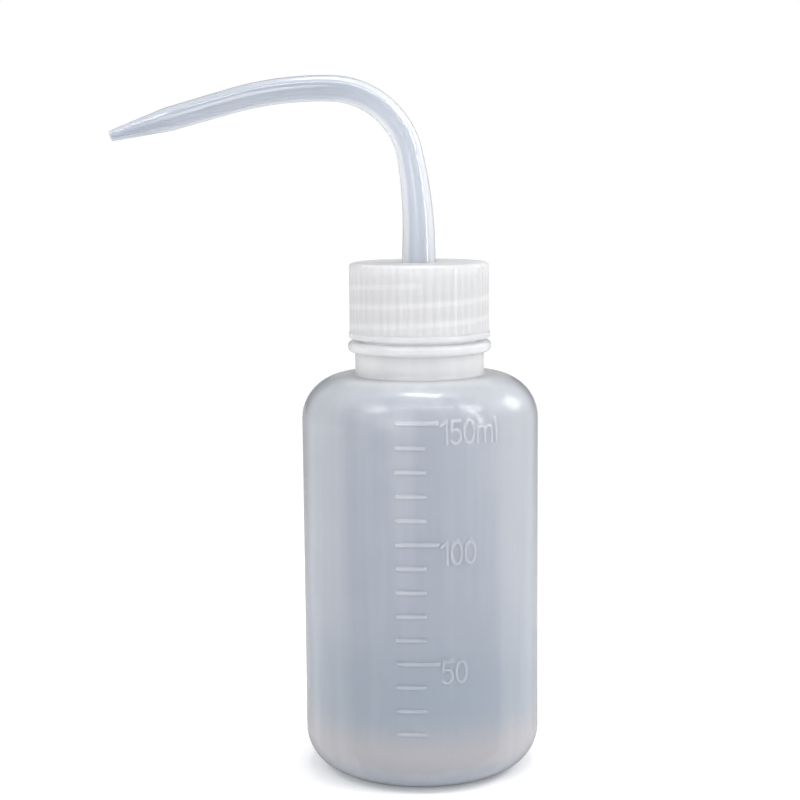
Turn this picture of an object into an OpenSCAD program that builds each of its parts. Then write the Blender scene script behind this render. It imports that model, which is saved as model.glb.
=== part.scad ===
// Laboratory wash bottle for 150 ml: a squeeze bottle, a screw cap, a seal plug,
// a bent jet spout and a dip tube. The origin is the centre of the standing ring,
// on the axis of the bottle, and the spout points along -X with the scale facing -Y.

/* [Body] */
// Outer diameter of the body
body_d = 52; // [50:0.5:54]
// Thickness of the moulded wall
wall = 1; // [0.8:0.1:1.2]
// Height of the shoulder's flat top
shoulder_z = 88.2; // [87:0.1:90]
// Radius of the corner between side and shoulder
shoulder_r = 10; // [8:0.5:11]
// Radius of the corner between side and base
heel_r = 9; // [7:0.5:10]
// Rise of the middle of the base above the standing ring
push_up = 1.6; // [1:0.1:2]
// Width of the flat standing ring
ring_w = 2; // [1.5:0.1:3]

/* [Neck] */
// Diameter of the smooth neck below the bead
neck_d = 28.3; // [27.5:0.1:29]
// Bore of the neck
neck_bore_d = 22.4; // [21.5:0.1:22.8]
// Diameter of the bead that the cap stops above
bead_d = 31.4; // [30.5:0.1:32]
// Height of the bead's underside
bead_z = 93.1; // [92.5:0.1:93.5]
// Thickness of the bead
bead_h = 2.4; // [2:0.1:2.6]
// Diameter of the neck between the thread's ridges
finish_d = 25.4; // [25.2:0.1:25.6]
// Height of the rim
rim_z = 109.8; // [109.6:0.1:109.9]

/* [Thread] */
// Turns in one inch of height
turns_per_inch = 6; // [5.9:0.05:6.1]
// Height of a ridge above its wall
ridge_h = 1; // [0.8:0.05:1.05]
// Width of a ridge at its wall
ridge_root_w = 1.9; // [1.6:0.1:2]
// Width of a ridge at its crest
ridge_crest_w = 0.9; // [0.7:0.1:1]
// Height of the cap's ridge below the bottle's ridge that it pulls on
ridge_drop = 1.75; // [1.7:0.05:1.9]
// Turns of the bottle's ridge
bottle_turns = 2.25; // [1.5:0.25:2.25]
// Turns of the cap's ridge
cap_turns = 2.5; // [1.5:0.25:2.5]

/* [Scale] */
// Height of the lowest mark, 20 ml
first_mark_z = 14.1; // [13:0.1:15]
// Height between two marks, 10 ml
mark_step = 5.11; // [5:0.01:5.2]
// Number of marks
mark_count = 14; // [5:1:14]
// Every which mark is a long one
long_every = 5; // [2:1:7]
// Distance from the marks' left ends to the middle of the body
mark_left = 5.7; // [4:0.1:7]
// Length of a short mark
short_mark = 6.5; // [5:0.5:8]
// Length of a long mark
long_mark = 9.3; // [8:0.1:12]
// Height of a mark's bar
mark_h = 0.9; // [0.6:0.1:1.2]
// How far a mark stands proud of the body
mark_rise = 0.3; // [0.2:0.05:0.4]

/* [Cap] */
// Diameter over the grip ribs
cap_d = 30.7; // [30.5:0.1:31]
// Diameter of the smooth hem at the cap's lower edge
hem_d = 31.1; // [31:0.1:31.4]
// Height of the cap's lower edge above the standing ring
cap_z = 96.2; // [96:0.1:96.4]
// Height of the hem
hem_h = 1.2; // [0.8:0.1:1.5]
// Height of the cap's top above the standing ring
cap_top_z = 112.6; // [112.4:0.1:113]
// Thickness of the cap's roof
roof = 1.6; // [1.5:0.1:1.7]
// Number of grip ribs
rib_count = 48; // [30:1:60]
// Depth of the grooves between the ribs
rib_depth = 0.35; // [0.2:0.05:0.4]
// Diameter of the hole that the spout comes through
cap_hole_d = 8; // [7.9:0.1:8.4]

/* [Spout] */
// Diameter of the spout where it leaves the cap
riser_d = 7.4; // [7:0.1:7.4]
// Diameter of the spout round its tight bend
bend_d = 5.75; // [5.5:0.05:6]
// Diameter of the spout before its tip's taper
arm_d = 5.2; // [4.8:0.1:5.5]
// Diameter of the tip
tip_d = 2.3; // [2:0.1:3]
// Bore of the spout
spout_bore_d = 3.6; // [3:0.1:3.8]
// Bore of the tip
tip_bore_d = 1.1; // [0.8:0.1:1.4]
// Height at which the riser starts to lean
riser_z = 117.5; // [116:0.5:119]
// Radius of the riser's slow lean
lean_r = 96; // [90:1:100]
// Angle of the riser's slow lean
lean_angle = 11; // [9:1:13]
// Radius of the tight bend
bend_r = 17.8; // [17:0.1:18.5]
// Angle of the tight bend
bend_angle = 77; // [74:1:80]
// Radius of the arm's slow fall
fall_r = 73.5; // [70:0.5:78]
// Angle of the arm's slow fall
fall_angle = 17.5; // [15:0.5:20]
// Length of the straight end of the arm
arm_end = 26.8; // [24:0.1:28]
// Length of the tip's taper
taper = 13; // [11:1:15]

/* [Plug and dip tube] */
// Diameter of the plug's flange
flange_d = 26.6; // [26.2:0.1:27.2]
// Depth of the plug's sealing skirt below the rim
skirt_depth = 6.5; // [5:0.5:7]
// Thickness of the sealing skirt
skirt_wall = 1.2; // [1:0.1:1.4]
// Depth of the plug's web below the rim
web_depth = 1.4; // [1.2:0.1:1.8]
// Diameter of the boss that holds the spout's tail
boss_d = 9.2; // [8.6:0.1:9.6]
// Depth of the boss below the rim
boss_depth = 8.5; // [7:0.1:9]
// Diameter of the spout's tail, which turns in the plug
tail_d = 6.4; // [6:0.1:6.6]
// Depth of the tail's lower end below the rim
tail_depth = 9.8; // [9.4:0.1:10.6]
// Depth of the dip tube's upper end below the rim
socket_depth = 2.8; // [2.4:0.1:3.2]
// Diameter of the dip tube
dip_d = 4.4; // [4:0.1:4.6]
// Wall of the dip tube
dip_wall = 0.55; // [0.4:0.05:0.7]
// Height of the lowest point of the dip tube
dip_z = 5.5; // [4.5:0.5:8]
// Angle at which the dip tube's lower end is cut
dip_slant = 30; // [0:5:45]

/* [Hidden] */
$fn = 96;

// A running fit's gap on the radius, and the gap under the cap's roof
fit_gap = 0.05;
roof_gap = 0.1;
// How far a part reaches into another so that the two become one solid
bite = 0.5;

pitch = 25.4 / turns_per_inch;
body_r = body_d / 2;
neck_r = neck_d / 2;
neck_bore_r = neck_bore_d / 2;
finish_r = finish_d / 2;
shoulder_c = [body_r - shoulder_r, shoulder_z - shoulder_r];
bead_r = bead_d / 2;
bead_top_z = bead_z + bead_h;
neck_fillet = 0.8;
rim_chamfer = 0.3;
// The bore widens to the inside of the neck between these two heights
flare_top_z = bead_z - 0.6;
flare_bottom_z = bead_z - 3;

// The gap between a thread's crest and the wall that it faces
thread_gap = 0.25;
cap_bore_r = finish_r + ridge_h + thread_gap;
cap_crest_r = cap_bore_r - ridge_h;
cap_r = cap_d / 2;
roof_z = cap_top_z - roof;
// The cap's ridge starts low at the back, and the bottle's ridge keeps in mesh with it
cap_ridge_angle = 100;
cap_ridge_z = 97.9;
bottle_ridge_angle = -15;
bottle_ridge_z = cap_ridge_z + ridge_drop + pitch * (bottle_ridge_angle - cap_ridge_angle) / 360;

collar_h = 1.2;
collar_d = 10.4;
plug_top_z = roof_z - roof_gap;
collar_z = plug_top_z - collar_h;
web_z = rim_z - web_depth;
skirt_z = rim_z - skirt_depth;
boss_z = rim_z - boss_depth;
tail_z = rim_z - tail_depth;
socket_z = rim_z - socket_depth;

// Points along a circular arc from angle a to angle b
function arc(centre, r, a, b, steps = 10) =
    [for (i = [0:steps]) let (t = a + (b - a) * i / steps) centre + r * [cos(t), sin(t)]];

// One helical ridge: a trapezoid that bites into its wall and runs along the thread's helix.
// root_r and crest_r are the radii of the wall and of the crest.
module ridge(root_r, crest_r, start_angle, start_z, turns) {
    steps = round(turns * 36);
    fade = 3;
    into = crest_r > root_r ? -bite : bite;
    slope = (ridge_root_w - ridge_crest_w) / 2 / ridge_h;
    low_r = root_r + into;
    low_half = ridge_root_w / 2 + slope * bite;
    points = [
        for (i = [0:steps])
            let (
                t = start_angle + 360 * turns * i / steps,
                z = start_z + pitch * turns * i / steps,
                rise = min(1, 0.25 + 0.75 * min(i, steps - i) / fade),
                top_r = root_r + (crest_r - root_r) * rise,
                top_half = ridge_root_w / 2 - slope * ridge_h * rise
            )
            for (p = [[low_r, -low_half], [top_r, -top_half], [top_r, top_half], [low_r, low_half]])
                [p[0] * cos(t), p[0] * sin(t), z + p[1]]
    ];
    sides = [
        for (i = [0:steps - 1], k = [0:3])
            let (a = 4 * i + k, b = 4 * i + (k + 1) % 4)
            each [[a, b, b + 4], [a, b + 4, a + 4]]
    ];
    last = 4 * steps;
    ends = [[0, 3, 2], [0, 2, 1], [last, last + 1, last + 2], [last, last + 2, last + 3]];
    faces = concat(sides, ends);
    turned = [for (f = faces) [f[2], f[1], f[0]]];
    polyhedron(points, crest_r > root_r ? faces : turned);
}

module bottle() {
    ring_r = body_r - heel_r;
    heel_c = [ring_r, heel_r];
    bead_round = bead_h / 2 - 0.2;
    outside = concat(
        [[0, push_up], [ring_r - ring_w, 0]],
        arc(heel_c, heel_r, -90, 0),
        arc(shoulder_c, shoulder_r, 0, 90),
        arc([neck_r + neck_fillet, shoulder_z + neck_fillet], neck_fillet, -90, -180, 4),
        [[neck_r, bead_z]],
        arc([bead_r - bead_round, bead_z + bead_round], bead_round, -90, 0, 4),
        arc([bead_r - bead_round, bead_top_z - bead_round], bead_round, 0, 90, 4),
        [[finish_r, bead_top_z], [finish_r, rim_z - rim_chamfer], [finish_r - rim_chamfer, rim_z]]
    );
    inside = concat(
        [[neck_bore_r, rim_z], [neck_bore_r, flare_top_z], [neck_r - wall, flare_bottom_z]],
        arc([neck_r, shoulder_z], wall, -180, -90, 4),
        arc(shoulder_c, shoulder_r - wall, 90, 0),
        arc(heel_c, heel_r - wall, 0, -90),
        [[ring_r - ring_w, wall], [0, push_up + wall]]
    );
    color("gainsboro") {
        rotate_extrude() polygon(concat(outside, inside));
        ridge(finish_r, finish_r + ridge_h, bottle_ridge_angle, bottle_ridge_z, bottle_turns);
        scale_marks();
    }
}

// Raised bars of the scale, curved with the body. The long ones are 50, 100 and 150 ml.
module scale_marks() {
    proud = shoulder_r + mark_rise;
    sunk = shoulder_r - wall / 2;
    intersection() {
        rotate_extrude()
            polygon(concat([[body_r - wall / 2, heel_r], [body_r + mark_rise, heel_r]],
                           arc(shoulder_c, proud, 0, 60), arc(shoulder_c, sunk, 60, 0)));
        for (i = [0:mark_count - 1])
            translate([-mark_left, -body_r - 1, first_mark_z + i * mark_step - mark_h / 2])
                cube([(i + 2) % long_every == 0 ? long_mark : short_mark, body_r / 2, mark_h]);
    }
}

// Stopper pressed into the neck: a flange on the rim, a sealing skirt, and a boss for the spout's tail
module seal_plug() {
    skirt_r = neck_bore_r - fit_gap;
    skirt_inner_r = skirt_r - skirt_wall;
    lead_in = [0.5, 1];
    color("whitesmoke")
        difference() {
            union() {
                translate([0, 0, rim_z]) cylinder(d = flange_d, h = plug_top_z - rim_z);
                translate([0, 0, web_z]) cylinder(r = skirt_r, h = plug_top_z - web_z);
                rotate_extrude()
                    polygon([[skirt_inner_r, web_z + bite], [skirt_inner_r, skirt_z],
                             [skirt_r - lead_in[0], skirt_z], [skirt_r, skirt_z + lead_in[1]],
                             [skirt_r, web_z + bite]]);
                translate([0, 0, boss_z]) cylinder(d = boss_d, h = plug_top_z - boss_z);
            }
            translate([0, 0, tail_z]) cylinder(r = tail_d / 2 + fit_gap, h = tail_depth + roof);
            translate([0, 0, collar_z]) cylinder(r = collar_d / 2 + 2 * fit_gap, h = collar_h + 1);
        }
}

// Stations along the spout's centre line: [x, z, heading, distance along the line]
function bend_stations(from, r, angle, steps) =
    [for (i = [1:steps])
        let (a = from[2], b = a + angle * i / steps)
        [from[0] - r * sin(a) + r * sin(b), from[1] + r * cos(a) - r * cos(b), b,
         from[3] + r * (b - a) * PI / 180]];
function run_stations(from, length, steps) =
    [for (i = [1:steps])
        let (s = length * i / steps)
        [from[0] + s * cos(from[2]), from[1] + s * sin(from[2]), from[2], from[3] + s]];
function last(list) = list[len(list) - 1];

// A round tube that follows the stations, with its outer and inner radii looked up by distance
module swept_tube(stations, outer, inner, sides = 24) {
    rings = len(stations);
    points = [
        for (table = [outer, inner], s = stations)
            let (r = lookup(s[3], table))
            for (k = [0:sides - 1])
                let (t = 360 * k / sides)
                [s[0] + r * cos(t) * sin(s[2]), r * sin(t), s[1] - r * cos(t) * cos(s[2])]
    ];
    inner_start = rings * sides;
    skin = [
        for (i = [0:rings - 2], k = [0:sides - 1])
            let (a = i * sides + k, b = i * sides + (k + 1) % sides)
            each [[a, a + sides, b + sides], [a, b + sides, b]]
    ];
    bore = [for (f = skin) [f[2], f[1], f[0]] + inner_start * [1, 1, 1]];
    far = (rings - 1) * sides;
    ends = [
        for (k = [0:sides - 1])
            let (j = (k + 1) % sides, m = inner_start + k, n = inner_start + j)
            each [[k, j, n], [k, n, m], [far + j, far + k, far + m], [far + j, far + m, far + n]]
    ];
    polyhedron(points, concat(skin, bore, ends));
}

// Bent jet spout: a tail that turns in the plug, a collar under the cap's roof, and the swept jet tube
module spout() {
    // The round riser ends just above the cap, where the swept tube takes over
    root_z = cap_top_z + 0.8;
    start = [0, root_z - bite, 90, 0];
    riser = concat([start], run_stations(start, riser_z - start[1], 2));
    leant = concat(riser, bend_stations(last(riser), lean_r, lean_angle, 5));
    bent = concat(leant, bend_stations(last(leant), bend_r, bend_angle, 16));
    fallen = concat(bent, bend_stations(last(bent), fall_r, fall_angle, 6));
    reached = concat(fallen, run_stations(last(fallen), arm_end - taper, 2));
    line = concat(reached, run_stations(last(reached), taper, 4));
    total = last(line)[3];
    // The tube thins up the lean, and again along the arm. Where the two solids meet, the swept
    // one is slim by a hair, so that no faces coincide.
    slim = 0.02;
    outer = [[0, riser_d / 2 - slim], [last(leant)[3], bend_d / 2], [last(bent)[3], bend_d / 2],
             [total - taper, arm_d / 2], [total, tip_d / 2]];
    inner = [[0, spout_bore_d / 2 + slim], [total - taper, spout_bore_d / 2 - 0.1],
             [total, tip_bore_d / 2]];
    color("aliceblue") {
        difference() {
            union() {
                translate([0, 0, collar_z]) cylinder(d = collar_d, h = collar_h);
                translate([0, 0, collar_z]) cylinder(d = riser_d, h = root_z - collar_z);
                translate([0, 0, tail_z]) cylinder(d = tail_d, h = collar_z + bite - tail_z);
            }
            translate([0, 0, tail_z - 1]) cylinder(d = spout_bore_d, h = root_z - tail_z + 2);
            translate([0, 0, tail_z - 1]) cylinder(d = dip_d, h = socket_z - tail_z + 1);
        }
        swept_tube(line, outer, inner);
    }
}

// Dip tube pushed up into the spout's tail, with its lower end cut at a slant
module dip_tube() {
    color("aliceblue")
        difference() {
            translate([0, 0, dip_z]) cylinder(d = dip_d, h = socket_z - dip_z);
            translate([0, 0, dip_z - 1]) cylinder(d = dip_d - 2 * dip_wall, h = socket_z);
            translate([dip_d / 2, 0, dip_z]) rotate([0, dip_slant, 0])
                translate([-4 * dip_d, -dip_d, -2 * dip_d]) cube([8 * dip_d, 2 * dip_d, 2 * dip_d]);
        }
}

// Outline of the grip: ribs with sloping sides round a cylinder
module grip_outline() {
    step = 360 / rib_count;
    polygon([
        for (i = [0:rib_count - 1], side = [[0.1, 1], [0.4, 1], [0.6, 0], [0.9, 0]])
            let (t = (i + side[0]) * step, r = cap_r - rib_depth * (1 - side[1]))
            [r * cos(t), r * sin(t)]
    ]);
}

// Ribbed screw cap with an internal thread and a hole for the spout
module screw_cap() {
    round_r = 0.8;
    core_r = cap_r - rib_depth / 2;
    shell = concat(
        [[cap_hole_d / 2, roof_z], [cap_hole_d / 2, cap_top_z]],
        arc([core_r - round_r, cap_top_z - round_r], round_r, 90, 0, 5),
        [[core_r, cap_z + hem_h], [hem_d / 2, cap_z + hem_h], [hem_d / 2, cap_z],
         [cap_bore_r + 0.4, cap_z], [cap_bore_r, cap_z + 0.4], [cap_bore_r, roof_z]]
    );
    color("white") {
        rotate_extrude() polygon(shell);
        difference() {
            translate([0, 0, cap_z + hem_h / 2])
                linear_extrude(cap_top_z - round_r - cap_z - hem_h / 2) grip_outline();
            translate([0, 0, cap_z - 1]) cylinder(r = cap_bore_r + bite, h = roof_z - cap_z + 5);
        }
        ridge(cap_bore_r, cap_crest_r, cap_ridge_angle, cap_ridge_z, cap_turns);
    }
}

bottle();
seal_plug();
spout();
dip_tube();
screw_cap();
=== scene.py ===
import math

import bpy
import numpy as np
from mathutils import Euler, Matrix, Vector


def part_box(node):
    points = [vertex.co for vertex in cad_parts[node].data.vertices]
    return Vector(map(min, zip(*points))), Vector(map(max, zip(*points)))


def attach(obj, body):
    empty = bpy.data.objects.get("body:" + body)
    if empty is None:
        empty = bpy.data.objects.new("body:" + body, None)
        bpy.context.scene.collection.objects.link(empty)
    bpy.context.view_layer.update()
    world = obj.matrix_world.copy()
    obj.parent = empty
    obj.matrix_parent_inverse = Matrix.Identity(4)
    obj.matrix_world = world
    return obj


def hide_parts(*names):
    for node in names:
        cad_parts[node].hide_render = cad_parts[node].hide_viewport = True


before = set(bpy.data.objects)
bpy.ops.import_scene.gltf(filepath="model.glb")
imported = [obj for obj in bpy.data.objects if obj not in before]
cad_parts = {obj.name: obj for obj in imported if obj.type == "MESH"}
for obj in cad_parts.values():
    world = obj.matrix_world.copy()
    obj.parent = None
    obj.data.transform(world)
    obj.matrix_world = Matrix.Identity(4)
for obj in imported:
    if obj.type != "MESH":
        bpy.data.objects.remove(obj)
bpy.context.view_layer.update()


# ---------------------------------------------------------------- the bench and the light
# The bottle stands on a wide sheet of matt white board in a pale, even room. A softbox hangs
# overhead, with strips and small boxes to the sides and one broad dim box in front.

# The camera stands 400 mm in front of the axis, level with the spout's riser, and looks down a
# little
lens = bpy.data.cameras.new("camera")
lens.sensor_width = 36.0
lens.lens = 82.2
lens.clip_start = 0.01
camera = bpy.data.objects.new("camera", lens)
camera.location = (-0.0044, -0.400, 0.1345)
look_down = math.radians(7.45)
lean_over = math.radians(-0.5)
camera.rotation_mode = "QUATERNION"
camera.rotation_quaternion = (
    Euler((math.pi / 2 - look_down, 0, 0)).to_quaternion() @ Euler((0, 0, lean_over)).to_quaternion())
bpy.context.collection.objects.link(camera)
bpy.context.scene.camera = camera


mm = 0.001


class Link:
    """A socket of a material's nodes. Arithmetic on it adds Math nodes."""

    def __init__(self, paint, socket):
        self.paint = paint
        self.socket = socket

    def math(self, operation, first, second):
        return self.paint.add("Math", {"operation": operation}, {0: first, 1: second})

    def __add__(self, other):
        return self.math("ADD", self, other)

    __radd__ = __add__

    def __mul__(self, other):
        return self.math("MULTIPLY", self, other)

    __rmul__ = __mul__

    def __sub__(self, other):
        return self.math("SUBTRACT", self, other)

    def __rsub__(self, other):
        return self.math("SUBTRACT", other, self)


class Paint:
    """The node tree of one material or of the world, with one method that adds any node."""

    def __init__(self, owner):
        self.owner = owner
        owner.use_nodes = True
        self.tree = owner.node_tree
        self.tree.nodes.clear()

    def add(self, kind, settings=None, inputs=None, output=0):
        node = self.tree.nodes.new("ShaderNode" + kind)
        for name, value in (settings or {}).items():
            setattr(node, name, value)
        for name, value in (inputs or {}).items():
            if isinstance(value, Link):
                self.tree.links.new(value.socket, node.inputs[name])
            else:
                node.inputs[name].default_value = value
        return Link(self, node.outputs[output]) if node.outputs else None

    def tint(self, share, first, second):
        """One colour turning into another as share goes from 0 to 1."""
        return self.add("Mix", {"data_type": "RGBA"}, {"Factor": share, 6: first, 7: second}, output=2)

    def climb(self, value, low, high):
        """0 below low and 1 above high, with a smooth climb between them."""
        return self.add("MapRange", {"interpolation_type": "SMOOTHSTEP"},
                        {"Value": value, "From Min": low, "From Max": high})

    def spot(self):
        """Where on the object a point lies, in metres."""
        return self.add("TexCoord", None, None, output=3)

    def spot_along(self, axis):
        """How far along axis 0, 1 or 2 a point lies, in millimetres."""
        return 1 / mm * self.add("SeparateXYZ", None, {0: self.spot()}, output=axis)

    def turned_away(self):
        """0 where a surface faces the eye and 1 where it is seen edge on."""
        return self.add("LayerWeight", None, {"Blend": 0.5}, output=1)

    def relief(self):
        """The relief that was kept with the mesh."""
        return self.add("Attribute", {"attribute_name": "relief"}, None, output=2)


black = (0, 0, 0, 1)
white = (1, 1, 1, 1)

# The board is faintly grained. Away from the bottle it turns evenly white, as if lit from below.
board_white = (0.94, 0.94, 0.945, 1)
board_fibre = (0.91, 0.91, 0.915, 1)
board_lift = (0.12, 0.12, 0.12, 1)
board = Paint(bpy.data.materials.new("white_board"))
board_grain = board.add("TexNoise", None, {"Vector": board.spot(), "Scale": 60.0, "Detail": 4.0})
away = board.add("VectorMath", {"operation": "LENGTH"}, {0: board.spot()}, output=1)
glow = board.climb(away, 0.12, 0.70)
board_shader = board.add("BsdfPrincipled", None, {
    "Base Color": board.tint(glow, board.tint(board_grain, board_fibre, board_white), black),
    "Roughness": 0.9,
    "Specular IOR Level": 0.1,
    "Emission Color": board.tint(glow, board_lift, white),
    "Emission Strength": 1.0,
})
board.add("OutputMaterial", None, {"Surface": board_shader})

bench_mesh = bpy.data.meshes.new("bench")
bench_r = 3.0
bench_turns = [math.tau * i / 96 for i in range(96)]
bench_mesh.from_pydata(
    [(bench_r * math.cos(t), bench_r * math.sin(t), 0) for t in bench_turns], [], [range(96)])
bench_mesh.materials.append(board.owner)
bench = bpy.data.objects.new("bench", bench_mesh)
bpy.context.collection.objects.link(bench)

# The room looks pure white, and lights the bottle a little less brightly than that
world = Paint(bpy.data.worlds.new("room"))
seen_directly = world.add("LightPath")
room_light = world.add("Background", None, {"Color": white, "Strength": 0.60 + 0.40 * seen_directly})
world.add("OutputWorld", None, {"Surface": room_light})
bpy.context.scene.world = world.owner
bpy.context.scene.view_settings.view_transform = "Standard"


mid_bottle = Vector((0, 0, 0.08))


def softbox(name, place, size, watts):
    """A soft rectangular lamp at place, turned to face the middle of the bottle."""
    lamp = bpy.data.lights.new(name, "AREA")
    lamp.shape = "RECTANGLE"
    lamp.size, lamp.size_y = size
    lamp.energy = watts
    stand = bpy.data.objects.new(name, lamp)
    stand.location = place
    stand.rotation_euler = (mid_bottle - Vector(place)).to_track_quat("-Z", "Y").to_euler()
    bpy.context.collection.objects.link(stand)


softbox("overhead", (0.02, 0.06, 0.80), (0.26, 0.12), 1.9)
softbox("top_strip", (0.02, -0.36, 0.68), (0.60, 0.05), 0.9)
softbox("right_strip", (0.60, -0.34, 0.30), (0.05, 0.60), 1.4)
softbox("right_high", (0.50, -0.24, 0.62), (0.20, 0.20), 1.2)
softbox("left_high", (-0.42, -0.30, 0.62), (0.20, 0.20), 1.2)
softbox("right_rim", (0.66, 0.32, 0.42), (0.25, 0.25), 1.5)
softbox("front_fill", (-0.40, -0.90, 0.40), (0.70, 0.50), 3.4)


# ---------------------------------------------------------------- bottle
# One blow moulding in natural low-density polyethylene: body, shoulder, neck, bead and thread.
# The scale's bars and numerals stand proud of the wall, cut into the mould. Its two halves leave
# a faint seam up each side, and the base is pushed up inside a flat standing ring.

bottle_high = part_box("bottle")[1]
body_r = bottle_high.x / mm
rim_z = bottle_high.z / mm
wall = 1.0
heel_r = 9.0
push_up = 1.6
ring_w = 2.0
shoulder_z = 88.2
shoulder_r = 10.0
neck_r = 14.15
neck_bore_r = 11.2
bead_r = 15.7
bead_low = 93.1
bead_high = 95.5
finish_r = 12.7

# The thread: six turns to the inch
pitch = 25.4 / 6
ridge_h = 1.0
ridge_root_w = 1.9
ridge_crest_w = 0.9
ridge_drop = 1.75
cap_ridge_start = 100
cap_ridge_z = 97.9
cap_ridge_turns = 2.5
bottle_ridge_start = -15
bottle_ridge_turns = 2.25
bottle_ridge_z = cap_ridge_z + ridge_drop + pitch * (bottle_ridge_start - cap_ridge_start) / 360

# The scale: heights of its marks, and its numerals drawn as strokes
first_mark_z = 14.1
mark_step = 5.11
mark_count = 14
mark_left = -5.7
short_mark = 6.5
long_mark = 9.3
mark_half_h = 0.38
mark_rise = 0.27
stroke_edge = 0.12
numeral_left = 4.1
numeral_h = 4.7
numeral_gap = 0.75
numeral_half_w = 0.27


def outline(*corners, step=2.5):
    """Points along a line of corners (r, z, rounding, arc step in degrees), rounded by arcs."""
    places = [np.array(c[:2], float) for c in corners]
    points = []
    for i, (place, corner) in enumerate(zip(places, corners)):
        rounding = corner[2] if len(corner) > 2 else 0
        if rounding == 0:
            points.append(place)
            continue
        back = places[i - 1] - place
        on = places[i + 1] - place
        back = back / np.linalg.norm(back)
        on = on / np.linalg.norm(on)
        half = math.acos(np.clip(back @ on, -1, 1)) / 2
        middle = place + (back + on) / np.linalg.norm(back + on) * rounding / math.sin(half)
        start = place + back * rounding / math.tan(half) - middle
        end = place + on * rounding / math.tan(half) - middle
        turn = math.pi - 2 * half
        arc_step = math.radians(corner[3] if len(corner) > 3 else 7)
        for t in np.linspace(0, 1, max(3, round(turn / arc_step) + 1)):
            swung = start * math.sin((1 - t) * turn) + end * math.sin(t * turn)
            points.append(middle + swung / math.sin(turn))
    line = [points[0]]
    for point in points[1:]:
        pieces = max(1, math.ceil(np.linalg.norm(point - line[-1]) / step))
        line += [line[-1] + (point - line[-1]) * k / pieces for k in range(1, pieces + 1)]
    return np.array(line)


def lathe(line, turns):
    """Rows of points round the axis: x, y and z for each point of the line at each angle.
    Angle 0 faces -Y."""
    r, z = line[:, :1], line[:, 1:]
    return np.stack([r * np.sin(turns), -r * np.cos(turns), z + 0 * turns], axis=-1)


crease_angle = math.radians(38)


def skin(name, rows, loop=False, relief=None):
    """A closed smooth mesh over rows of points in millimetres, made in metres. A row on the axis
    becomes one point, or loop joins the last row to the first. relief is kept for the material."""
    count, around = rows.shape[:2]
    mesh = bpy.data.meshes.new(name)
    verts = rows.reshape(-1, 3) * mm
    index = np.arange(count * around).reshape(count, around)
    if not loop:
        index[0] = index[0, 0]
        index[-1] = index[-1, 0]
    below = index if loop else index[:-1]
    above = np.roll(index, -1, axis=0) if loop else index[1:]
    quads = np.stack([below, np.roll(below, -1, 1), np.roll(above, -1, 1), above], -1).reshape(-1, 4)
    faces = [list(dict.fromkeys(q)) for q in quads.tolist()]
    used = sorted({v for f in faces for v in f})
    renumber = {v: i for i, v in enumerate(used)}
    mesh.from_pydata(verts[used].tolist(), [], [[renumber[v] for v in f] for f in faces])
    if relief is not None:
        layer = mesh.attributes.new("relief", "FLOAT", "POINT")
        layer.data.foreach_set("value", relief.reshape(-1)[used].astype(np.float32))
    corners = verts[quads]
    across = np.cross(corners[:, 2] - corners[:, 0], corners[:, 3] - corners[:, 1])
    if (across * corners.mean(axis=1)).sum() < 0:
        mesh.flip_normals()
    mesh.polygons.foreach_set("use_smooth", [True] * len(mesh.polygons))
    mesh.set_sharp_from_angle(angle=crease_angle)
    piece = bpy.data.objects.new(name, mesh)
    bpy.context.collection.objects.link(piece)
    return piece


def ease(share):
    """0 to 1 with a soft start and a soft end."""
    share = np.clip(share, 0, 1)
    return share * share * (3 - 2 * share)


def ridge(turns, z, start_deg, start_z, length):
    """Height of a helical ridge that is `length` turns long, at the angles and heights given."""
    turn = (np.degrees(turns) + 270 - start_deg) / 360
    along = turn + np.round((z - start_z) / pitch - turn)
    off = np.abs(z - start_z - pitch * along)
    rise = ease((ridge_root_w / 2 - off) / ((ridge_root_w - ridge_crest_w) / 2))
    ends = ease(np.minimum(along, length - along) * 12 + 0.5)
    return ridge_h * rise * ends


def bow(x, y, half_w, half_h, start, end):
    """Points along part of an ellipse in a numeral."""
    turns = np.radians(np.linspace(start, end, 15))
    return [(x + half_w * math.cos(t), y + half_h * math.sin(t)) for t in turns]


# Each character's width, and its strokes in a box one wide and one high
characters = {
    "0": (2.3, [bow(0.5, 0.5, 0.5, 0.5, 90, 450)]),
    "1": (1.3, [[(0, 0.80), (0.9, 1), (0.9, 0)]]),
    "5": (2.2, [[(0.95, 1), (0.14, 1), (0.06, 0.55)] + bow(0.46, 0.31, 0.52, 0.31, 130, -145)]),
    "m": (3.5, [[(0, 0), (0, 0.70)],
                bow(0.25, 0.47, 0.25, 0.23, 180, 0) + [(0.5, 0)],
                bow(0.75, 0.47, 0.25, 0.23, 180, 0) + [(1, 0)]]),
    "l": (0.8, [[(0.5, 0), (0.5, 1)]]),
}


def scale_strokes():
    """Strokes of the whole scale, as start, end and half width: bars, and numerals beside the
    long ones."""
    strokes = []
    for i in range(mark_count):
        z = first_mark_z + i * mark_step
        volume = 20 + 10 * i
        length = long_mark if volume % 50 == 0 else short_mark
        bar = mark_half_h
        strokes.append((mark_left + bar, z, mark_left + length - bar, z, bar))
        if volume % 50:
            continue
        left = numeral_left
        for character in str(volume) + ("ml" if volume == 150 else ""):
            width, lines = characters[character]
            for line in lines:
                spots = [(left + width * x, z + 0.4 + numeral_h * (y - 1)) for x, y in line]
                strokes += [(*a, *b, numeral_half_w) for a, b in zip(spots, spots[1:])]
            left += width + numeral_gap
    return strokes


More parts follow.
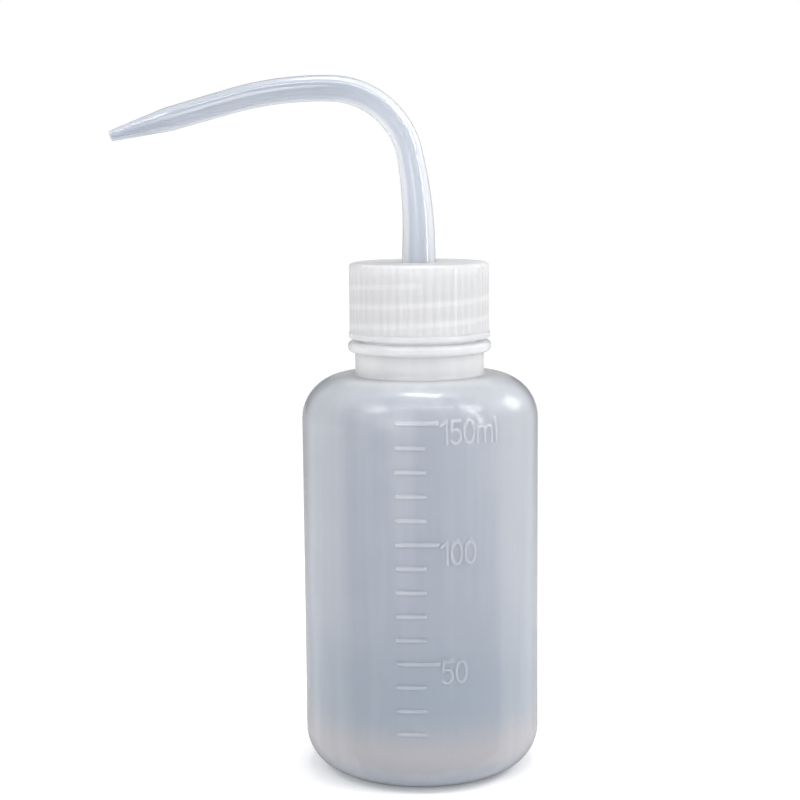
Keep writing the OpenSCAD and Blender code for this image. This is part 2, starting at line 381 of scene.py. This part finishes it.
def scale_relief(turns, z):
    """How far the scale lifts the wall, from 0 to 1, at the angles and heights given."""
    across = turns * body_r + 0 * z
    up = z + 0 * turns
    lift = np.zeros(across.shape)
    for x0, z0, x1, z1, half_w in scale_strokes():
        run = np.array([x1 - x0, z1 - z0])
        share = np.clip(((across - x0) * run[0] + (up - z0) * run[1]) / (run @ run), 0, 1)
        away = np.hypot(across - x0 - share * run[0], up - z0 - share * run[1])
        lift = np.maximum(lift, ease((half_w + stroke_edge - away) / (2 * stroke_edge)))
    return lift


# The mesh is fine only where the marks, the numerals and the thread need it
tiny = 1e-6
mark_row_gap = 0.17
thread_row_gap = 0.12
ring_r = body_r - heel_r
fine_rows = []
for z in np.arange(heel_r + 0.5, shoulder_z - shoulder_r, mark_row_gap):
    to_mark = (z - first_mark_z + mark_step / 2) % mark_step - mark_step / 2
    to_long = (z - first_mark_z - 3 * mark_step) % (5 * mark_step) - 5 * mark_step
    if abs(to_mark) < 0.75 or to_long > -numeral_h - 0.3:
        fine_rows.append((body_r, z))
# The pushed-up base has one shallow groove round its underside
outside = outline(
    (0, push_up), (4, push_up - 0.05), (9.0, push_up - 0.45), (9.3, push_up - 0.20),
    (10.1, push_up - 0.30), (10.4, push_up - 0.72), (ring_r - ring_w, 0, 0.8),
    (body_r, 0, heel_r, 4), *fine_rows, (body_r, shoulder_z, shoulder_r, 1.2),
    (neck_r, shoulder_z, 0.8), (neck_r, bead_low, 0.3), (bead_r, bead_low, 1.0),
    (bead_r, bead_high, 1.0), (finish_r, bead_high, 0.4),
    *[(finish_r, z) for z in np.arange(bead_high + 1, rim_z - 0.5, thread_row_gap)],
    (finish_r, rim_z, 0.3), (neck_bore_r, rim_z, 0.3), (neck_bore_r, rim_z - 0.5), step=0.9)
inside = outline(
    (neck_bore_r, rim_z - 1), (neck_bore_r, bead_low - 0.6, 2.0), (neck_r - wall, bead_low - 3, 0.8),
    (neck_r - wall, shoulder_z - wall, 1.0), (body_r - wall, shoulder_z - wall, shoulder_r - wall),
    (body_r - wall, wall, heel_r - wall), (ring_r - ring_w, wall, 1.0), (0, push_up + wall))

# Angles round the bottle, in radians: close together across the scale and at the two seams
scale_start = -0.30
scale_end = 0.80
seam_w = 0.014
seam_rise = 0.05
front = np.arange(scale_start, scale_end, mark_row_gap / body_r)
seams = [s * math.pi / 2 + k * seam_w / 2 for s in (-1, 1) for k in (-2, -1, 0, 1, 2)]
sides = [t for t in np.arange(scale_end, math.tau + scale_start, math.radians(2.5))
         if min(abs(t - math.pi / 2), abs(t - 1.5 * math.pi)) > seam_w * 1.5]
bottle_turns = np.array(sorted([*front, *sides, *[s % math.tau for s in seams]]))

# The scale, the seams and the thread lift the wall. The seams lift it at the shoulder and neck
# only, and are a paler line down the body.
shell = np.vstack([outside, inside])
rows = lathe(shell, bottle_turns)
radius, height = shell[:, :1], shell[:, 1:]
outer = (np.arange(len(height)) < len(outside))[:, None]
turned = np.where(bottle_turns > math.pi, bottle_turns - math.tau, bottle_turns)
on_wall = outer & (height > heel_r) & (radius > body_r - 0.6)
on_finish = outer & (np.abs(radius - finish_r) < tiny) & (height < rim_z - 0.4)
scale = np.where(on_wall, scale_relief(turned, height), 0)
seam = np.maximum(0, 1 - np.abs(np.abs(turned) - math.pi / 2) / seam_w)
seam_proud = (outer & (radius > neck_r - tiny) & (height > 0.3)
              & (radius < body_r - seam_rise - 0.01))
thread = ridge(bottle_turns, height, bottle_ridge_start, bottle_ridge_z, bottle_ridge_turns)
lift = mark_rise * scale + seam_rise * seam * seam_proud + np.where(on_finish, thread, 0)
spread = (radius + lift) / np.maximum(radius, tiny)
rows[..., :2] *= np.where(radius > 1, spread, 1)[..., None]
bottle = skin("bottle_shell", rows, relief=np.maximum(scale, 0.5 * seam * outer))


def polyethylene(paint, deep, pale, pallor, clear, rough, gloss, coat=(0.4, 1.5), scatter=1.5,
                 ripple=0.12, streaks=0.30, lit_through=black):
    """Finishes a natural polyethylene: pallor runs from deep to pale, clear is the share of light
    that goes straight in, gloss is the roughness of the waxy skin over it, coat is that skin's
    weight and refractive index, scatter is how many millimetres light spreads inside, and
    lit_through is light that reaches a hidden surface through the wall."""
    place = paint.spot()
    drawn = paint.add("Mapping", None, {"Vector": place, "Scale": (1.0, 1.0, 0.05)})
    streak = paint.add("TexNoise", None, {"Vector": drawn, "Scale": 330.0, "Detail": 3.0})
    cloud = paint.add("TexNoise", None, {"Vector": place, "Scale": 70.0, "Detail": 2.0})
    grain = paint.add("TexNoise", None, {"Vector": place, "Scale": 900.0, "Detail": 2.0})
    waves = paint.add("TexNoise", None, {"Vector": drawn, "Scale": 130.0, "Detail": 1.0})
    mottle = streaks * (streak - 0.5) + 0.16 * (cloud - 0.5)
    colour = paint.tint(pallor + mottle, deep, pale)
    bump = paint.add("Bump", None, {
        "Height": 0.25 * grain + waves, "Strength": ripple, "Distance": 0.6 * mm})
    shader = paint.add("BsdfPrincipled", None, {
        "Base Color": colour,
        "Roughness": rough + 0.10 * (cloud - 0.5),
        "IOR": 1.5,
        "Transmission Weight": clear,
        "Subsurface Weight": 1.0,
        "Subsurface Radius": (1.0, 1.0, 1.0),
        "Subsurface Scale": scatter * mm,
        "Coat Weight": coat[0],
        "Coat IOR": coat[1],
        "Coat Roughness": gloss,
        "Emission Color": lit_through,
        "Emission Strength": 1.0,
        "Normal": bump,
    })
    paint.add("OutputMaterial", None, {"Surface": shader})
    return paint.owner


# Natural polyethylene is greyish blue in a thin wall, and milky where the blown wall is thick: at the
# neck and at the scale's marks.
# Where the wall turns away from the eye it is painted paler, and at the outline darker: painted light
# and shade. A lighter, warmer zone above the heel is painted light, the lit base seen through the
# front wall, and a belt low on the body is darker.
smoky_wall = (0.42, 0.46, 0.53, 1)
low_belt_tone = (0.36, 0.415, 0.485, 1)
lit_base_seen_through_tone = (0.485, 0.475, 0.505, 1)
outline_shade_tone = (0.10, 0.105, 0.12, 1)
milky_neck = (0.93, 0.93, 0.935, 1)
neck_glow = (0.25, 0.25, 0.255, 1)
# The base's edge, seen through the wall, is painted as two faint pale arcs at these heights: painted
# light
base_arc_heights = (6.6, 9.0)

paint = Paint(bpy.data.materials.new("bottle_polyethylene"))
height = paint.spot_along(2)
facing = paint.turned_away()
square_on = 1 - paint.climb(facing, 0.03, 0.16)
# Paler in a band where the wall turns away from the eye, darker at the outline and a little darker
# square on: painted light and shade for what the slanting wall scatters and reflects.
edge_light_and_shade = (0.12 * paint.climb(facing, 0.22, 0.34) - 0.30 * paint.climb(facing, 0.58, 0.85)
             - 0.03 * square_on)
thick_top = (0.07 * paint.climb(height, shoulder_z - 14, shoulder_z - 1)
             + 0.62 * paint.climb(height, shoulder_z - 1.5, shoulder_z + 0.8)
             - 0.05 * paint.climb(height, bead_low - 0.6, bead_low + 0.4))
base_arcs = sum(paint.climb(height, z - 0.5, z) - paint.climb(height, z, z + 0.5)
                for z in base_arc_heights)
# Painted light on the base's arcs where the wall is seen square on, and the bottom 7 mm painted
# darker, taking back the painted edge light where the heel turns down.
base_arcs_and_heel_shade = 0.08 * base_arcs * square_on - 0.14 * (1 - paint.climb(height, 1, 7))
upward = 0.17 * paint.climb(height, 10, 85) - 0.03
raised = 0.15 * paint.relief()

# A lighter, warmer zone from the heel up to an uneven top edge: painted light, the lit base seen
# through the front wall.
uneven = paint.add("TexNoise", None, {"Scale": 45.0, "Detail": 2.0})
lit_base_zone_top = height + 6 * (uneven - 0.5)
lit_base_seen_through = paint.climb(height, 2, 8) - paint.climb(lit_base_zone_top, 8, 19)
# The wall is darker in a belt low on the body, from about 8 to 42 mm up.
darker_low_belt = paint.climb(height, 8, 16) - paint.climb(height, 22, 42)
wall_tone = paint.tint(darker_low_belt, smoky_wall, low_belt_tone)
wall_tone = paint.tint(lit_base_seen_through, wall_tone, lit_base_seen_through_tone)
# Towards the outline the wall turns to a dark tone: painted shade.
wall_tone = paint.tint(paint.climb(facing, 0.62, 0.95), wall_tone, outline_shade_tone)

# The narrow gap between the bead and the cap glows with the light that comes through the neck
gap_band = (paint.climb(height, bead_high - 0.2, bead_high + 0.1)
            - paint.climb(height, bead_high + 0.8, bead_high + 1.4))
bottle.data.materials.append(polyethylene(
    paint, wall_tone, milky_neck, edge_light_and_shade + thick_top + base_arcs_and_heel_shade + upward + raised,
    0.45, 0.42, 0.14, lit_through=paint.tint(gap_band, black, neck_glow)))
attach(bottle, "bottle")
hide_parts("bottle")


# ---------------------------------------------------------------- seal plug
# A stopper in softer white polyethylene, pressed into the neck: its flange is clamped on the rim,
# its skirt seals against the bore, and its boss holds the spout's tail.

plug_low, plug_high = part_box("seal_plug")
flange_r = plug_high.x / mm
plug_top = plug_high.z / mm
plug_bottom = plug_low.z / mm
boss_r = 4.6
boss_bore_r = 3.25
seat_r = 5.3
seat_depth = 1.2
seat_play = 0.02
seat_z = plug_top - seat_depth - seat_play
skirt_r = neck_bore_r - 0.05
skirt_wall = 1.2
skirt_z = rim_z - 6.5
web_z = rim_z - 1.4
plug_shade = (0.74, 0.75, 0.77, 1)
plug_white = (0.90, 0.90, 0.91, 1)
even_turns = np.linspace(0, math.tau, 96, endpoint=False)
plug_line = outline(
    (seat_r, plug_top, 0.15), (flange_r, plug_top, 0.35), (flange_r, rim_z, 0.25),
    (skirt_r, rim_z, 0.05), (skirt_r, skirt_z + 1), (skirt_r - 0.5, skirt_z, 0.15),
    (skirt_r - skirt_wall, skirt_z, 0.15), (skirt_r - skirt_wall, web_z, 0.4), (boss_r, web_z, 0.5),
    (boss_r, plug_bottom, 0.2), (boss_bore_r, plug_bottom, 0.1), (boss_bore_r, seat_z, 0.05),
    (seat_r, seat_z), (seat_r, plug_top - 0.3), step=1.0)
plug = skin("seal_plug_moulding", lathe(plug_line, even_turns), loop=True)
paint = Paint(bpy.data.materials.new("plug_polyethylene"))
# The plug is painted paler where it is seen edge on: painted light.
plug.data.materials.append(polyethylene(
    paint, plug_shade, plug_white, paint.turned_away(), 0.25, 0.45, 0.2))
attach(plug, "plug")
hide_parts("seal_plug")


# ---------------------------------------------------------------- spout
# A jet tube moulded in natural polyethylene, bent while warm and drawn to a fine tip. Its collar
# sits in the plug under the cap's roof, and its tail turns in the plug and takes the dip tube.

spout_low, spout_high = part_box("spout")
collar_z = plug_top - seat_depth
tail_z = spout_low.z / mm
collar_r = spout_high.y / mm
root_z = 113.5
riser_r = 3.7
turn_r = 2.85
arm_r = 2.6
tip_r = 1.15
tip_bore_r = 0.55
spout_bore_r = 1.8
tail_r = 3.2
socket_r = 2.2
socket_z = rim_z - 2.8
riser_top = 117.5
# Each bend's radius and angle: the riser's slow lean, the tight bend, and the arm's slow fall
bends = ((96, 11), (17.8, 77), (73.5, 17.5))
arm_end = 26.8
taper = 13.0
riser_wall = (0.58, 0.62, 0.69, 1)
thin_shaded_arm_wall = (0.42, 0.46, 0.53, 1)
tube_outline_shade = (0.22, 0.24, 0.27, 1)
tube_pale = (0.86, 0.88, 0.91, 1)

# The centre line: how far along it each bend ends, and which way it then points
bend_ends = [riser_top]
headings = [90.0]
for bend_r, bend_angle in bends:
    bend_ends.append(bend_ends[-1] + math.radians(bend_angle) * bend_r)
    headings.append(headings[-1] + bend_angle)
spout_end = bend_ends[-1] + arm_end
centre_step = 0.1
along = np.arange(0, spout_end + centre_step, centre_step)
heading = np.radians(np.interp(along, bend_ends, headings))
mid_heading = (heading[:-1] + heading[1:]) / 2
centre_x = np.concatenate([[0], np.cumsum(np.cos(mid_heading) * centre_step)])
centre_z = np.concatenate([[0], np.cumsum(np.sin(mid_heading) * centre_step)])


def follow(line, turns):
    """Rows of points round the spout's centre line, for points (r, distance along it)."""
    r, s = line[:, :1], line[:, 1]
    x, z, lean = (np.interp(s, along, values)[:, None] for values in (centre_x, centre_z, heading))
    side = r * np.cos(turns)
    return np.stack([x + side * np.sin(lean), r * np.sin(turns) + 0 * x, z - side * np.cos(lean)], -1)


spout_line = outline(
    (tail_r, tail_z, 0.3), (tail_r, collar_z, 0.1), (collar_r, collar_z, 0.1),
    (collar_r, plug_top, 0.2), (riser_r, plug_top, 0.15), (riser_r, root_z),
    (turn_r, bend_ends[1], 30), (turn_r, bend_ends[2], 30),
    (arm_r, spout_end - taper, 12), (tip_r, spout_end, 0.12),
    (tip_bore_r, spout_end, 0.08), (spout_bore_r - 0.1, spout_end - taper, 12), (spout_bore_r, root_z),
    (spout_bore_r, socket_z, 0.1), (socket_r, socket_z, 0.1), (socket_r, tail_z, 0.2),
    (tail_r - 0.4, tail_z), step=0.8)
spout_turns = np.linspace(0, math.tau, 48, endpoint=False)
spout = skin("spout_tube", follow(spout_line, spout_turns), loop=True)

# The wall is painted paler at each side of the bore, where it is seen at a slant, mostly on the riser,
# where it is thickest,
# and darker at the outline: painted light and shade. The drawn tip is less glossy than the bent tube.
paint = Paint(bpy.data.materials.new("spout_polyethylene"))
facing = paint.turned_away()
reach = paint.spot_along(0)
# On the arm and tip the tone is darker than on the riser and less pale beside the bore: partly the
# thinner wall, partly painted shade that damps the light of the lamps above.
thin_shaded_arm = 1 - paint.climb(reach, -22, -1)
wall_tone = paint.tint(thin_shaded_arm, riser_wall, thin_shaded_arm_wall)
# At the outline the tube turns to a dark tone: painted shade.
wall_tone = paint.tint(paint.climb(facing, 0.62, 0.90), wall_tone, tube_outline_shade)
bore_side_light_and_shade = ((0.75 - 0.45 * thin_shaded_arm) * paint.climb(facing, 0.12, 0.26)
               - 0.75 * paint.climb(facing, 0.55, 0.80))
waxy_skin = 0.2 + 0.7 * paint.climb(reach, -60, -48)
spout.data.materials.append(polyethylene(
    paint, wall_tone, tube_pale, bore_side_light_and_shade, 0.35, 0.34, 0.065,
    coat=(waxy_skin, 1.7), ripple=0.01, streaks=0))
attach(spout, "jet")
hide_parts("spout")


# ---------------------------------------------------------------- dip tube
# A straight extruded tube in natural polyethylene, pushed up into the spout's tail. Its lower end
# is cut at a slant, so that it can't seal against the base.

dip_low, dip_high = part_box("dip_tube")
dip_r = dip_high.x / mm
dip_wall = 0.55
dip_bottom = dip_low.z / mm
dip_top = dip_high.z / mm
dip_slant = math.tan(math.radians(30))
cut_top = dip_bottom + 4
straw_shade = (0.74, 0.77, 0.81, 1)
straw_pale = (0.90, 0.91, 0.93, 1)
dip_line = outline(
    (dip_r, dip_bottom), (dip_r, cut_top), (dip_r, dip_top, 0.15),
    (dip_r - dip_wall, dip_top, 0.1), (dip_r - dip_wall, cut_top), (dip_r - dip_wall, dip_bottom),
    step=4.0)
dip_rows = lathe(dip_line, np.linspace(0, math.tau, 40, endpoint=False))
cut = dip_rows[..., 2] < dip_bottom + 0.1
slanted = dip_bottom + (dip_r - dip_rows[..., 0]) * dip_slant
dip_rows[..., 2] = np.where(cut, slanted, dip_rows[..., 2])
dip_tube = skin("dip_tube_straw", dip_rows, loop=True)
paint = Paint(bpy.data.materials.new("dip_tube_polyethylene"))
# The tube is painted paler where it is seen edge on: painted light.
dip_tube.data.materials.append(polyethylene(
    paint, straw_shade, straw_pale, paint.turned_away(), 0.6, 0.3, 0.15))
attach(dip_tube, "jet")
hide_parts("dip_tube")


# ---------------------------------------------------------------- screw cap
# One moulding in whiter polyethylene: fine upright grip ribs above a smooth hem, a roof with a hole
# for the spout, and an internal thread that shows through the wall as slanting lines.

cap_low, cap_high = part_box("screw_cap")
cap_bottom = cap_low.z / mm
cap_top = cap_high.z / mm
hem_r = cap_high.x / mm
hem_h = 1.2
cap_r = 15.35
rib_depth = 0.16
rib_count = 48
roof = 1.6
cap_hole_r = 4.0
cap_bore_r = 13.95
cap_shade = (0.755, 0.76, 0.78, 1)
roof_shade = (0.58, 0.585, 0.60, 1)
cap_white = (0.95, 0.95, 0.96, 1)
roof_z = cap_top - roof
groove_r = cap_r - rib_depth
hem_top = cap_bottom + hem_h
grip_rows = np.arange(cap_top - 1.8, hem_top + 0.9, -0.3)
bore_rows = np.arange(cap_bottom + 0.6, roof_z - 0.3, 0.22)
cap_line = outline(
    (cap_hole_r, cap_top, 0.2), (groove_r, cap_top, 0.8), (groove_r, cap_top - 0.95),
    (groove_r, cap_top - 1.4), *[(groove_r, z) for z in grip_rows], (groove_r, hem_top + 0.6),
    (groove_r, hem_top + 0.1, 0.05), (hem_r, hem_top, 0.2), (hem_r, cap_bottom, 0.25),
    (cap_bore_r + 0.4, cap_bottom, 0.1), (cap_bore_r, cap_bottom + 0.4),
    *[(cap_bore_r, z) for z in bore_rows], (cap_bore_r, roof_z, 0.3), (cap_hole_r, roof_z, 0.1),
    (cap_hole_r, cap_top - 0.4), step=1.2)
cap_turns = np.linspace(0, math.tau, rib_count * 10, endpoint=False)
cap_rows = lathe(cap_line, cap_turns)
radius, height = cap_line[:, :1], cap_line[:, 1:]

# Ribs run from the hem up into the rounded top edge, and the thread stands in the bore
gripped = (radius > groove_r - 0.7) & (radius < groove_r + tiny) & (height > hem_top)
rib_top = ease((cap_top - height) / 0.7)
ribs = ease(0.5 + 1.3 * np.cos(cap_turns * rib_count)) * rib_depth * rib_top
cap_thread = ridge(cap_turns, height, cap_ridge_start, cap_ridge_z, cap_ridge_turns)
threaded = ((np.abs(radius - cap_bore_r) < tiny) & (height > cap_bottom + 0.5)
            & (height < roof_z - 0.35))
cap_lift = np.where(gripped, ribs, 0) - np.where(threaded, cap_thread, 0)
cap_rows[..., :2] *= ((radius + cap_lift) / radius)[..., None]

# The outer wall keeps what stands behind it: the cap's own thread, pale, and the neck's, darker
outer_wall = (radius > cap_bore_r + 0.6) & (height < roof_z)
neck_thread = ridge(cap_turns, height, bottle_ridge_start, bottle_ridge_z, bottle_ridge_turns)
behind = (cap_thread / ridge_h) ** 8 - 0.3 * neck_thread / ridge_h
screw_cap = skin("screw_cap_moulding", cap_rows, loop=True, relief=np.where(outer_wall, behind, 0))

paint = Paint(bpy.data.materials.new("cap_polyethylene"))
roofed = paint.climb(paint.spot_along(2), cap_top - 1.4, cap_top - 0.2)
# The cap is painted a little paler where it is seen edge on: painted light.
screw_cap.data.materials.append(polyethylene(
    paint, paint.tint(roofed, cap_shade, roof_shade), cap_white,
    0.27 + 0.48 * paint.relief() + 0.08 * paint.climb(paint.turned_away(), 0.3, 0.9),
    0.4, 0.40, 0.2, scatter=4))
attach(screw_cap, "cap")
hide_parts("screw_cap")
